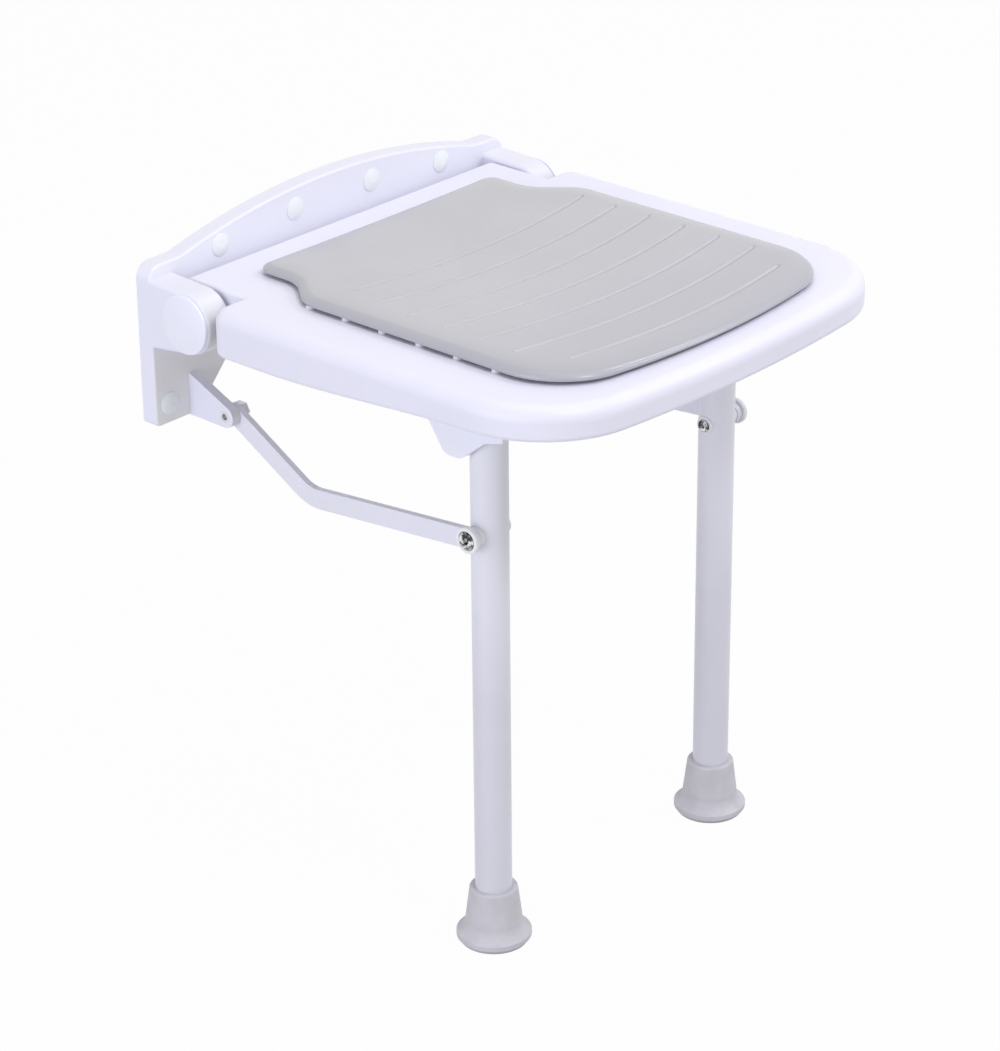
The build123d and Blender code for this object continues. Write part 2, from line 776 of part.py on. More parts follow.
def leg_nut():
    """Sleeve nut with a smaller button head on the inner side of the tube."""
    seat = leg_x - tube_radius - saddle_rise
    head = socket_head(sleeve_head_radius, sleeve_head, sleeve_socket_flats, seat, -1)
    return head + rod(leg_bolt_radius, seat, leg_x - side_gap, leg_y, bolt_z)


def socket_head(radius, height, flats, seat, way):
    """Rounded head with a hexagon socket, standing out from its seat one way along X."""
    tip = seat + way * height
    head = rod(radius, seat, tip, leg_y, bolt_z)
    outer = head.faces().filter_by(Axis.X).sort_by(Axis.X)[-1 if way > 0 else 0]
    head = fillet(outer.edges(), height / 2)
    return head - hexagon(flats, tip - way * leg_socket_depth, tip, leg_y, bolt_z)


def leg_ring_washer():
    """White cup washer on the link, with the bolt head sunk into it."""
    start = link_outer + side_gap
    end = start + leg_ring
    ring = rod(leg_ring_radius, start, end, leg_y, bolt_z)
    ring = fillet(ring.faces().sort_by(Axis.X)[-1].edges(), leg_ring_round)
    ring -= rod(leg_head_radius + side_gap, end - leg_ring_pocket, end + 1, leg_y, bolt_z)
    return ring - rod(leg_bolt_radius + snug, start - 1, end, leg_y, bolt_z)


def tube_solid():
    """The tube's outside, grown by a snug fit, for cutting what sits against it."""
    return stud(tube_radius + snug, leg_x, leg_y, tube_bottom, tube_top)


def leg_spacer():
    """Saddle spacer between the tube and the link."""
    body = rod(spacer_radius, leg_x + tube_radius / 2, link_inner - side_gap, leg_y, bolt_z) - tube_solid()
    return body - rod(leg_bolt_radius + snug, leg_x, link_inner + 1, leg_y, bolt_z)


def leg_saddle():
    """Saddle washer under the sleeve nut's head."""
    body = rod(saddle_radius, leg_x - tube_radius - saddle_rise, leg_x - tube_radius / 2, leg_y, bolt_z)
    body -= tube_solid()
    return body - rod(leg_bolt_radius + snug, leg_x - 2 * tube_radius, leg_x, leg_y, bolt_z)


# Every node, with the paired ones made on the right and mirrored to the left
paired = {
    "hinge_pin": hinge_pin,
    "hinge_bush": hinge_bush,
    "hinge_cap": hinge_cap,
    "leg_bracket": leg_bracket,
    "leg_pivot_bolt": leg_pivot_bolt,
    "leg_tube": leg_tube,
    "leg_plug": leg_plug,
    "leg_foot": leg_foot,
    "leg_foot_washer": leg_foot_washer,
    "leg_bolt": leg_bolt,
    "leg_nut": leg_nut,
    "leg_ring": leg_ring_washer,
    "leg_spacer": leg_spacer,
    "leg_saddle": leg_saddle,
    "link": link_bar,
    "link_bolt": link_bolt,
    "link_nut": link_nut,
}
nodes = {
    "wall_plate": wall_plate(),
    "screw_caps": Compound(children=screw_caps()),
    "seat_shell": seat_shell(),
    "seat_base": seat_base(),
    "seat_base_screws": Compound(children=seat_base_screws()),
    "leg_bracket_screws": Compound(children=leg_bracket_screws()),
    "seat_pad": seat_pad(),
}
for name, make in paired.items():
    right = make()
    nodes[f"{name}_right"] = right
    nodes[f"{name}_left"] = mirror(right, Plane.YZ)

os.makedirs("parts", exist_ok=True)
for name, shape in nodes.items():
    export_step(shape, f"parts/{name}.step")
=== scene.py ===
import json
import math

import bmesh
import bpy
from mathutils import Matrix, Vector
from mathutils.kdtree import KDTree


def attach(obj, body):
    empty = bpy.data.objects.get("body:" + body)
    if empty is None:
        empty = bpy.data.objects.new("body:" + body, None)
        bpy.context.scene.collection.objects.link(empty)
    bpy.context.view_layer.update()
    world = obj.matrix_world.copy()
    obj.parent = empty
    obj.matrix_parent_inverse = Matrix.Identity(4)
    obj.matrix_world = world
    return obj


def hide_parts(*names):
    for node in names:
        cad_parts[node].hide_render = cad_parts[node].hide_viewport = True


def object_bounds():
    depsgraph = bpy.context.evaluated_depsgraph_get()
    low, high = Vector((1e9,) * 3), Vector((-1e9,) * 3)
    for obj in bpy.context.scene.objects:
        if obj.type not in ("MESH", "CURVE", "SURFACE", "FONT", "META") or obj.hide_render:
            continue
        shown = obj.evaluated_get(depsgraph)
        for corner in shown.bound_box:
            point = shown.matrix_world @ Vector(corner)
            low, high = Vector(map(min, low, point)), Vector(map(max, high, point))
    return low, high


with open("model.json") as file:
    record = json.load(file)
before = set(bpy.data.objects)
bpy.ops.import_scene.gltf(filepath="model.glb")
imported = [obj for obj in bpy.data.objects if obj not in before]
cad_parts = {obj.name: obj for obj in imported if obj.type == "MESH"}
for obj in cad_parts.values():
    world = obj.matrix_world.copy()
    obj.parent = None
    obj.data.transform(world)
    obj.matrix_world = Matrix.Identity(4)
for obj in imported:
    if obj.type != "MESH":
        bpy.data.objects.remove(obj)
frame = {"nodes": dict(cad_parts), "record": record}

scene = bpy.context.scene
scene.view_settings.view_transform = "Standard"
nodes = frame["nodes"]
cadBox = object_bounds()
floorGap = 0.0002        # keeps the soles of the feet clear of the floor
floorHeight = cadBox[0].z - floorGap
tiny = 1e-6

# camera, fitted to the photo
viewpoint = {
    "azimuth": -47.895,
    "elevation": 25.408,
    "roll": -0.531,
    "distance": 2.7615,
    "target": (-0.00045, -0.1836, -0.1908),
    "lens": 123.31,
}


def placeCamera(v):
    a, e, r = (math.radians(v[k]) for k in ("azimuth", "elevation", "roll"))
    back = Vector((math.sin(a) * math.cos(e), -math.cos(a) * math.cos(e), math.sin(e)))
    side = Vector((math.cos(a), math.sin(a), 0))
    up = back.cross(side)
    side, up = side * math.cos(r) + up * math.sin(r), up * math.cos(r) - side * math.sin(r)
    data = bpy.data.cameras.new("photoCamera")
    data.lens, data.sensor_width = v["lens"], 36
    data.clip_start, data.clip_end = 0.1, 40
    cam = bpy.data.objects.new("photoCamera", data)
    scene.collection.objects.link(cam)
    turn = Matrix((side, up, back)).transposed().to_4x4()
    cam.matrix_world = Matrix.Translation(Vector(v["target"]) + back * v["distance"]) @ turn
    scene.camera = cam


placeCamera(viewpoint)
print("camera placed")

# node helpers


def put(tree, kind, at, **settings):
    node = tree.nodes.new(kind)
    node.location = at
    for key, value in settings.items():
        if isinstance(value, (int, float, tuple)) and key in node.inputs.keys():
            node.inputs[key].default_value = value
        else:
            setattr(node, key, value)
    return node


def plug(tree, *pairs):
    for source, target in pairs:
        tree.links.new(source, target)


def startGroup(name, inputs, outputs):
    tree = bpy.data.node_groups.new(name, "ShaderNodeTree")
    for label, kind, value in inputs:
        socket = tree.interface.new_socket(label, in_out="INPUT", socket_type=kind)
        if value is not None:
            socket.default_value = value
    for label, kind in outputs:
        tree.interface.new_socket(label, in_out="OUTPUT", socket_type=kind)
    return tree, put(tree, "NodeGroupInput", (-900, 0)), put(tree, "NodeGroupOutput", (700, 0))


# fine moulded skin: a tight grain for bump and a slow cloud for colour
def buildMouldSkin():
    floatIn, vectorIn = "NodeSocketFloat", "NodeSocketVector"
    tree, into, out = startGroup(
        "mouldSkin",
        [("Vector", vectorIn, None), ("Grain Size", floatIn, 900.0), ("Cloud Size", floatIn, 14.0),
         ("Cloud Edge", floatIn, 0.2)],
        [("Grain", floatIn), ("Cloud", floatIn)],
    )
    grain = put(tree, "ShaderNodeTexNoise", (-600, 150), Detail=3.0, Roughness=0.6)
    pores = put(tree, "ShaderNodeTexVoronoi", (-600, -150), feature="F1")
    cloud = put(tree, "ShaderNodeTexNoise", (-600, -420), Detail=4.0, Roughness=0.55)
    half = put(tree, "ShaderNodeMath", (-760, -150), operation="MULTIPLY")
    half.inputs[1].default_value = 0.55
    mixed = put(tree, "ShaderNodeMath", (-300, 100), operation="MULTIPLY_ADD")
    mixed.inputs[1].default_value = 0.45
    spread = put(tree, "ShaderNodeMapRange", (-300, -420), interpolation_type="SMOOTHSTEP")
    low = put(tree, "ShaderNodeMath", (-500, -640), operation="SUBTRACT")
    low.inputs[0].default_value = 0.5
    high = put(tree, "ShaderNodeMath", (-500, -820), operation="ADD")
    high.inputs[0].default_value = 0.5
    plug(
        tree,
        (into.outputs["Vector"], grain.inputs["Vector"]),
        (into.outputs["Vector"], pores.inputs["Vector"]),
        (into.outputs["Vector"], cloud.inputs["Vector"]),
        (into.outputs["Grain Size"], grain.inputs["Scale"]),
        (into.outputs["Grain Size"], half.inputs[0]),
        (half.outputs[0], pores.inputs["Scale"]),
        (into.outputs["Cloud Size"], cloud.inputs["Scale"]),
        (pores.outputs["Distance"], mixed.inputs[0]),
        (grain.outputs["Fac"], mixed.inputs[2]),
        (mixed.outputs[0], out.inputs["Grain"]),
        (into.outputs["Cloud Edge"], low.inputs[1]),
        (into.outputs["Cloud Edge"], high.inputs[1]),
        (low.outputs[0], spread.inputs["From Min"]),
        (high.outputs[0], spread.inputs["From Max"]),
        (cloud.outputs["Fac"], spread.inputs["Value"]),
        (spread.outputs["Result"], out.inputs["Cloud"]),
    )
    return tree


# faint rubbing: long thin streaks across one direction, broken up by a cloud
def buildRubMarks():
    floatIn, vectorIn = "NodeSocketFloat", "NodeSocketVector"
    tree, into, out = startGroup(
        "rubMarks",
        [("Vector", vectorIn, None), ("Stretch", vectorIn, (40.0, 40.0, 700.0)), ("Amount", floatIn, 0.3)],
        [("Marks", floatIn)],
    )
    turn = put(tree, "ShaderNodeMapping", (-650, 150), vector_type="POINT")
    streak = put(tree, "ShaderNodeTexNoise", (-420, 150), Scale=1.0, Detail=5.0, Roughness=0.7)
    patch = put(tree, "ShaderNodeTexNoise", (-420, -150), Scale=26.0, Detail=3.0)
    sharp = put(tree, "ShaderNodeMapRange", (-180, 150))
    sharp.inputs["From Min"].default_value = 0.56
    sharp.inputs["From Max"].default_value = 0.74
    where = put(tree, "ShaderNodeMapRange", (-180, -150))
    where.inputs["From Min"].default_value = 0.42
    where.inputs["From Max"].default_value = 0.66
    both = put(tree, "ShaderNodeMath", (60, 60), operation="MULTIPLY")
    level = put(tree, "ShaderNodeMath", (260, 60), operation="MULTIPLY")
    plug(
        tree,
        (into.outputs["Vector"], turn.inputs["Vector"]),
        (into.outputs["Stretch"], turn.inputs["Scale"]),
        (turn.outputs["Vector"], streak.inputs["Vector"]),
        (into.outputs["Vector"], patch.inputs["Vector"]),
        (streak.outputs["Fac"], sharp.inputs["Value"]),
        (patch.outputs["Fac"], where.inputs["Value"]),
        (sharp.outputs["Result"], both.inputs[0]),
        (where.outputs["Result"], both.inputs[1]),
        (both.outputs[0], level.inputs[0]),
        (into.outputs["Amount"], level.inputs[1]),
        (level.outputs[0], out.inputs["Marks"]),
    )
    return tree


# painted shade in corners and narrow gaps, from ambient occlusion
def buildCornerShade():
    floatIn = "NodeSocketFloat"
    tree, into, out = startGroup(
        "cornerShade",
        [("Reach", floatIn, 0.006), ("Amount", floatIn, 0.4)],
        [("Shade", floatIn)],
    )
    closeness = put(tree, "ShaderNodeAmbientOcclusion", (-500, 0), samples=6)
    flip = put(tree, "ShaderNodeMapRange", (-220, 0))
    flip.inputs["From Min"].default_value = 0.75
    flip.inputs["From Max"].default_value = 0.15
    level = put(tree, "ShaderNodeMath", (60, 0), operation="MULTIPLY")
    plug(
        tree,
        (into.outputs["Reach"], closeness.inputs["Distance"]),
        (closeness.outputs["AO"], flip.inputs["Value"]),
        (flip.outputs["Result"], level.inputs[0]),
        (into.outputs["Amount"], level.inputs[1]),
        (level.outputs[0], out.inputs["Shade"]),
    )
    return tree


mouldSkin, rubMarks, cornerShade = buildMouldSkin(), buildRubMarks(), buildCornerShade()
print("shared effects ready")


# a second tone where the surface leans, or lies, one way; most uses below paint light and shade this way
def leanBlend(tree, where, base, lean, row):
    split = put(tree, "ShaderNodeSeparateXYZ", (-950, 480 + row))
    share = put(tree, "ShaderNodeMapRange", (-780, 480 + row), interpolation_type="SMOOTHSTEP")
    share.inputs["From Min"].default_value = lean["end"]
    share.inputs["From Max"].default_value = lean["start"]
    share.inputs["To Min"].default_value = lean.get("amount", 1.0)
    share.inputs["To Max"].default_value = 0.0
    blend = put(tree, "ShaderNodeMix", (-500, 420 + row), data_type="RGBA")
    blend.inputs["B"].default_value = (*lean["tone"], 1)
    plug(
        tree,
        (where.outputs[lean["by"]], split.inputs[0]),
        (split.outputs[lean["axis"]], share.inputs["Value"]),
        (share.outputs["Result"], blend.inputs["Factor"]),
        (base, blend.inputs["A"]),
    )
    return blend.outputs["Result"]


# one finish: two close tones, a grain, rub marks that change the gloss, painted shade in corners, and
# second tones where a face leans or lies one way
def finish(name, f):
    mat = bpy.data.materials.new(name)
    mat.use_nodes = True
    tree = mat.node_tree
    tree.nodes.clear()
    where = put(tree, "ShaderNodeTexCoord", (-1200, 0))
    skin = put(tree, "ShaderNodeGroup", (-950, 200), node_tree=mouldSkin)
    skin.inputs["Grain Size"].default_value = f["grainSize"]
    skin.inputs["Cloud Size"].default_value = f["cloudSize"]
    skin.inputs["Cloud Edge"].default_value = f.get("cloudEdge", 0.2)
    rub = put(tree, "ShaderNodeGroup", (-950, -50), node_tree=rubMarks)
    rub.inputs["Stretch"].default_value = f["rubStretch"]
    rub.inputs["Amount"].default_value = f["rubAmount"]
    corner = put(tree, "ShaderNodeGroup", (-950, -300), node_tree=cornerShade)
    corner.inputs["Reach"].default_value = f["cornerReach"]
    corner.inputs["Amount"].default_value = f["cornerAmount"]
    tones = put(tree, "ShaderNodeMix", (-620, 250), data_type="RGBA")
    tones.inputs["A"].default_value = (*f["tone"], 1)
    tones.inputs["B"].default_value = (*f["secondTone"], 1)
    shaded = put(tree, "ShaderNodeMix", (-380, 200), data_type="RGBA")
    shaded.inputs["B"].default_value = (*f["cornerShadeTone"], 1)
    gloss = put(tree, "ShaderNodeMath", (-620, -20), operation="MULTIPLY_ADD")
    gloss.inputs[1].default_value = f["roughSwing"]
    gloss.inputs[2].default_value = f["rough"]
    worn = put(tree, "ShaderNodeMath", (-380, -20), operation="ADD")
    bump = put(tree, "ShaderNodeBump", (-380, -260), Strength=f["bump"], Distance=f["bumpDepth"])
    surface = put(tree, "ShaderNodeBsdfPrincipled", (-80, 150), Metallic=f["metal"], IOR=f["ior"])
    for key, value in f.get("extra", {}).items():
        surface.inputs[key].default_value = value
    out = put(tree, "ShaderNodeOutputMaterial", (260, 150))
    base = tones.outputs["Result"]
    rowHeight = 260
    for k, lean in enumerate(f.get("leans", [])):
        base = leanBlend(tree, where, base, lean, rowHeight * k)
    plug(
        tree,
        (where.outputs["Object"], skin.inputs["Vector"]),
        (where.outputs["Object"], rub.inputs["Vector"]),
        (skin.outputs["Cloud"], tones.inputs["Factor"]),
        (base, shaded.inputs["A"]),
        (corner.outputs["Shade"], shaded.inputs["Factor"]),
        (skin.outputs["Cloud"], gloss.inputs[0]),
        (gloss.outputs[0], worn.inputs[0]),
        (rub.outputs["Marks"], worn.inputs[1]),
        (skin.outputs["Grain"], bump.inputs["Height"]),
        (shaded.outputs["Result"], surface.inputs["Base Color"]),
        (worn.outputs[0], surface.inputs["Roughness"]),
        (bump.outputs["Normal"], surface.inputs["Normal"]),
        (surface.outputs["BSDF"], out.inputs["Surface"]),
    )
    return mat


# white satin plastic of the seat
seatPlastic = finish("seatPlastic", {
    "tone": (0.855, 0.85, 0.95), "secondTone": (0.835, 0.83, 0.935), "cornerShadeTone": (0.58, 0.58, 0.62),
    "grainSize": 1400.0, "cloudSize": 9.0,
    "rubStretch": (60.0, 520.0, 60.0), "rubAmount": 0.05,
    "cornerReach": 0.0035, "cornerAmount": 0.35,
    "rough": 0.36, "roughSwing": 0.07, "bump": 0.12, "bumpDepth": 0.0002,
    "metal": 0.0, "ior": 1.46,
})

# the wall plate, lilac, with painted light and shade: neutral grey low down and dark grey on the front
# faces of the forward parts, where shade falls, and darker tones on faces turned from the front and on
# upward faces, so that forward faces read lightest
platePlastic = finish("platePlastic", {
    "tone": (0.905, 0.905, 0.985), "secondTone": (0.885, 0.885, 0.97), "cornerShadeTone": (0.50, 0.50, 0.50),
    "leans": [
        # painted shade low down and on the forward parts' front faces; painted light by facing: faces
        # turned from the front, and upward faces, take darker tones
        {"by": "Object", "axis": "Z", "start": -0.012, "end": -0.05, "tone": (0.88, 0.87, 0.865)},
        {"by": "Object", "axis": "Y", "start": -0.035, "end": -0.055, "tone": (0.70, 0.70, 0.71)},
        {"by": "Normal", "axis": "Y", "start": -0.9, "end": -0.5, "tone": (0.86, 0.857, 0.97)},
        {"by": "Normal", "axis": "Z", "start": 0.6, "end": 0.95, "tone": (0.83, 0.825, 0.905)},
    ],
    "grainSize": 1400.0, "cloudSize": 9.0,
    "rubStretch": (520.0, 60.0, 60.0), "rubAmount": 0.05,
    "cornerReach": 0.010, "cornerAmount": 0.34,
    "rough": 0.36, "roughSwing": 0.07, "bump": 0.12, "bumpDepth": 0.0002,
    "metal": 0.0, "ior": 1.46,
})

# hinge caps and leg brackets, a little bluer
hingePlastic = finish("hingePlastic", {
    "tone": (0.905, 0.91, 1.0), "secondTone": (0.885, 0.89, 1.0), "cornerShadeTone": (0.50, 0.50, 0.55),
    "grainSize": 1400.0, "cloudSize": 20.0,
    "rubStretch": (60.0, 520.0, 60.0), "rubAmount": 0.05,
    "cornerReach": 0.007, "cornerAmount": 0.5,
    "rough": 0.33, "roughSwing": 0.07, "bump": 0.10, "bumpDepth": 0.0002,
    "metal": 0.0, "ior": 1.46,
})

# slightly milky green-white covers over the wall screws, and the rings and spacers on the legs
capPlastic = finish("capPlastic", {
    "tone": (0.915, 0.945, 0.935), "secondTone": (0.895, 0.925, 0.92), "cornerShadeTone": (0.56, 0.59, 0.61),
    "grainSize": 700.0, "cloudSize": 60.0,
    "rubStretch": (300.0, 60.0, 60.0), "rubAmount": 0.06,
    "cornerReach": 0.003, "cornerAmount": 0.35,
    "rough": 0.28, "roughSwing": 0.06, "bump": 0.06, "bumpDepth": 0.0002,
    "metal": 0.0, "ior": 1.48,
})

# plain mouldings that hardly show: panel, bushes and plugs
basePlastic = finish("basePlastic", {
    "tone": (0.78, 0.78, 0.86), "secondTone": (0.75, 0.75, 0.82), "cornerShadeTone": (0.45, 0.45, 0.50),
    "grainSize": 900.0, "cloudSize": 16.0,
    "rubStretch": (40.0, 480.0, 40.0), "rubAmount": 0.08,
    "cornerReach": 0.006, "cornerAmount": 0.4,
    "rough": 0.48, "roughSwing": 0.08, "bump": 0.18, "bumpDepth": 0.0002,
    "metal": 0.0, "ior": 1.46,
})

# powder-coated tubes, with the coat's orange-peel skin; the lighter colour near the seat is painted light
legPaint = finish("legPaint", {
    "tone": (0.73, 0.725, 0.795), "secondTone": (0.70, 0.695, 0.755), "cornerShadeTone": (0.40, 0.40, 0.45),
    "leans": [
        # painted light: the tubes turn lighter towards their tops, near the seat
        {"by": "Object", "axis": "Z", "start": -0.27, "end": -0.12, "tone": (0.84, 0.835, 0.90)},
    ],
    "grainSize": 520.0, "cloudSize": 12.0,
    "rubStretch": (420.0, 420.0, 18.0), "rubAmount": 0.08,
    "cornerReach": 0.004, "cornerAmount": 0.4,
    "rough": 0.30, "roughSwing": 0.06, "bump": 0.10, "bumpDepth": 0.0003,
    "metal": 0.0, "ior": 1.5,
})

# the same coat on the link bars, lighter
linkPaint = finish("linkPaint", {
    "tone": (0.86, 0.855, 0.94), "secondTone": (0.83, 0.825, 0.905), "cornerShadeTone": (0.45, 0.45, 0.50),
    "grainSize": 520.0, "cloudSize": 12.0,
    "rubStretch": (420.0, 60.0, 420.0), "rubAmount": 0.08,
    "cornerReach": 0.004, "cornerAmount": 0.4,
    "rough": 0.30, "roughSwing": 0.06, "bump": 0.10, "bumpDepth": 0.0003,
    "metal": 0.0, "ior": 1.5,
})

# light grey rubber feet
footRubber = finish("footRubber", {
    "tone": (0.63, 0.615, 0.65), "secondTone": (0.585, 0.575, 0.605), "cornerShadeTone": (0.32, 0.32, 0.34),
    "grainSize": 1100.0, "cloudSize": 70.0,
    "rubStretch": (90.0, 90.0, 420.0), "rubAmount": 0.12,
    "cornerReach": 0.005, "cornerAmount": 0.5,
    "rough": 0.62, "roughSwing": 0.1, "bump": 0.3, "bumpDepth": 0.0003,
    "metal": 0.0, "ior": 1.5,
})

# soft grey skin of the pad, darker and bluer towards the front, with painted shade wherever the surface
# turns down from the flat top, on the rolled rim and sides
padSkin = finish("padSkin", {
    "tone": (0.508, 0.502, 0.522), "secondTone": (0.488, 0.482, 0.497), "cornerShadeTone": (0.24, 0.24, 0.26),
    "leans": [
        {"by": "Object", "axis": "Y", "start": -0.24, "end": -0.37, "tone": (0.455, 0.448, 0.48)},
        # painted shade: a darker tone where the top rolls down to the rim and on the sides
        {"by": "Normal", "axis": "Z", "start": 0.999, "end": 0.955, "amount": 0.85,
         "tone": (0.42, 0.422, 0.455)},
    ],
    "grainSize": 1500.0, "cloudSize": 11.0,
    "rubStretch": (420.0, 50.0, 50.0), "rubAmount": 0.06,
    "cornerReach": 0.0035, "cornerAmount": 0.5,
    "rough": 0.34, "roughSwing": 0.06, "bump": 0.22, "bumpDepth": 0.0003,
    "metal": 0.0, "ior": 1.48,
    "extra": {"Coat Weight": 0.5, "Coat Roughness": 0.14},
})

# the same skin in the pressed grooves, rougher, in a lighter tone as painted highlight, with painted shade
# on the wall that leans back
padGrooveLightAndShade = finish("padGrooveLightAndShade", {
    "tone": (0.56, 0.557, 0.58), "secondTone": (0.54, 0.537, 0.555), "cornerShadeTone": (0.30, 0.30, 0.32),
    "leans": [
        # painted shade on the groove wall that leans back
        {"by": "Normal", "axis": "Y", "start": 0.0, "end": 0.2, "amount": 0.9, "tone": (0.38, 0.38, 0.40)},
    ],
    "grainSize": 1500.0, "cloudSize": 30.0,
    "rubStretch": (420.0, 50.0, 50.0), "rubAmount": 0.05,
    "cornerReach": 0.003, "cornerAmount": 0.4,
    "rough": 0.62, "roughSwing": 0.08, "bump": 0.2, "bumpDepth": 0.0002,
    "metal": 0.0, "ior": 1.48,
})

# polished bolt heads on the legs; the sharp-edged patches of near-black and bright grey in their colour are
# painted reflections
brightSteel = finish("brightSteel", {
    # painted reflections: near-black and bright grey patches, split by the cloud
    "tone": (0.05, 0.05, 0.055), "secondTone": (0.78, 0.78, 0.79), "cornerShadeTone": (0.02, 0.02, 0.022),
    "grainSize": 1600.0, "cloudSize": 190.0, "cloudEdge": 0.08,
    "rubStretch": (60.0, 900.0, 60.0), "rubAmount": 0.15,
    "cornerReach": 0.003, "cornerAmount": 0.8,
    "rough": 0.16, "roughSwing": 0.1, "bump": 0.06, "bumpDepth": 0.0001,
    "metal": 1.0, "ior": 2.5,
})

# plain fasteners and pins
plainSteel = finish("plainSteel", {
    "tone": (0.80, 0.795, 0.83), "secondTone": (0.68, 0.68, 0.71), "cornerShadeTone": (0.05, 0.05, 0.055),
    "grainSize": 1300.0, "cloudSize": 90.0,
    "rubStretch": (50.0, 800.0, 50.0), "rubAmount": 0.2,
    "cornerReach": 0.003, "cornerAmount": 0.8,
    "rough": 0.32, "roughSwing": 0.12, "bump": 0.1, "bumpDepth": 0.0001,
    "metal": 1.0, "ior": 2.5,
})
print("finishes ready")

# each record slot shows one finish, except for pieces that look a little different
pairFinish = {
    "hinge_cap": hingePlastic, "leg_bracket": hingePlastic, "link": linkPaint,
    "leg_ring": capPlastic, "leg_spacer": capPlastic, "leg_saddle": capPlastic,
}
pieceFinish = {"wall_plate": platePlastic}
for side in ("left", "right"):
    for part, mat in pairFinish.items():
        pieceFinish[f"{part}_{side}"] = mat
slotFinish = {
    "seat_plastic": seatPlastic,
    "cap_plastic": capPlastic,
    "base_plastic": basePlastic,
    "leg_paint": legPaint,
    "foot_rubber": footRubber,
    "pad_foam": padSkin,
    "bright_steel": brightSteel,
    "plain_steel": plainSteel,
}
for row in frame["record"]["subparts"]:
    piece = nodes[row["node"]]
    piece.data.materials.clear()
    piece.data.materials.append(pieceFinish.get(row["node"], slotFinish[row["material_slot"]]))
print("frame dressed:", len(nodes), "nodes")

# moulded pad, with curved grooves pressed into its dished top
padShape = {
    "rear": 0.0595, "front": 0.3965, "frontBow": 0.0185,
    "rearWidth": 0.258, "width": 0.310, "neckStart": 0.101, "neckEnd": 0.134,
    "rearCorner": 0.012, "neckRound": 0.0103, "frontCorner": 0.047,
    "underside": 0.0252, "thickness": 0.0084, "dish": 0.003,
    "topRound": 0.0054, "footRound": 0.0012,
    "rollReach": 0.021, "rollDrop": 0.0036,
    "grooves": 7, "firstGroove": 0.1635, "groovePitch": 0.0336, "grooveBow": 0.0127,
    "grooveHalf": 0.136, "lastGrooveHalf": 0.119, "grooveWidth": 0.0044, "grooveDepth": 0.0009,
    "grooveFade": 0.004, "grooveBareEnd": 0.003,
    # how finely the mesh is divided
    "cornerSteps": 10, "topSteps": 6, "footSteps": 3, "longEdge": 0.02, "edgeCuts": 28,
    "gridAcross": 0.008, "gridRear": 0.0045, "grooveCuts": 4, "fadeCuts": 4,
    "betweenGrooves": (0.2, 0.5, 0.8), "rollCuts": (0.0065, 0.0085, 0.0105, 0.013, 0.016, 0.02),
}


def roundCorner(bm, x, y, reach, steps):
    for sideways in (-x, x):
        corner = min(bm.verts, key=lambda v: (v.co.x - sideways) ** 2 + (v.co.y - y) ** 2)
        bmesh.ops.bevel(bm, geom=[corner], offset=reach, affect="VERTICES", segments=steps, profile=0.5,
                        material=-1)


def cutAcross(bm, point, normal):
    everything = bm.verts[:] + bm.edges[:] + bm.faces[:]
    bmesh.ops.bisect_plane(bm, geom=everything, dist=tiny, plane_co=point, plane_no=normal)


def rimFinder(outline):
    steps = 12
    ends = list(zip(outline, outline[1:] + outline[:1]))
    tree = KDTree(len(ends) * steps)
    for k, (a, b) in enumerate(ends):
        for j in range(steps):
            tree.insert(a.lerp(b, j / steps), k * steps + j)
    tree.balance()
    return lambda point: tree.find(point)[2]


# where each groove lies when straight, and how far it runs to each side
def grooveRuns(p):
    ends = [p["grooveHalf"]] * (p["grooves"] - 1) + [p["lastGrooveHalf"]]
    return [(-p["firstGroove"] - k * p["groovePitch"], end) for k, end in enumerate(ends)]


def grooveSweep(p, x):
    return p["grooveBow"] * (x / p["grooveHalf"]) ** 2


# flat plan with a bowed front, bent so that the curved grooves lie straight and planes can cut them
def padPlan(p):
    half, rearHalf = p["width"] / 2, p["rearWidth"] / 2
    corner = -p["front"] + p["frontBow"]
    plan = [(half, corner), (half, -p["neckEnd"]), (rearHalf, -p["neckStart"]), (rearHalf, -p["rear"])]
    ring = plan + [(-x, y) for x, y in reversed(plan)]
    bm = bmesh.new()
    bm.faces.new([bm.verts.new((x, y, p["underside"])) for x, y in ring])
    for (x, y), key in zip(plan, ("frontCorner", "neckRound", "neckRound", "rearCorner")):
        roundCorner(bm, x, y, p[key], p["cornerSteps"])
    long = [e for e in bm.edges if e.calc_length() > p["longEdge"]]
    bmesh.ops.subdivide_edges(bm, edges=long, cuts=p["edgeCuts"])
    for v in bm.verts:
        if v.co.y < -p["front"] / 2:
            v.co.y -= p["frontBow"] * (1 - (v.co.x / half) ** 2)
        v.co.y -= grooveSweep(p, v.co.x)
    return bm


# thickness, with a large round at the top and a small one at the foot
def thickenPad(bm, p):
    top = bmesh.ops.extrude_face_region(bm, geom=bm.faces[:])["geom"]
    topVerts = [g for g in top if isinstance(g, bmesh.types.BMVert)]
    bmesh.ops.translate(bm, verts=topVerts, vec=(0, 0, p["thickness"]))
    bmesh.ops.recalc_face_normals(bm, faces=bm.faces[:])
    upright = 0.1            # a side face's normal rises less than this
    rims = (
        (p["underside"] + p["thickness"], p["topRound"], p["topSteps"]),
        (p["underside"], p["footRound"], p["footSteps"]),
    )
    for level, size, steps in rims:
        rim = [e for e in bm.edges if all(abs(v.co.z - level) < tiny for v in e.verts)
               and any(abs(f.normal.z) < upright for f in e.link_faces)]
        bmesh.ops.bevel(bm, geom=rim, offset=size, affect="EDGES", segments=steps, profile=0.5, material=-1)


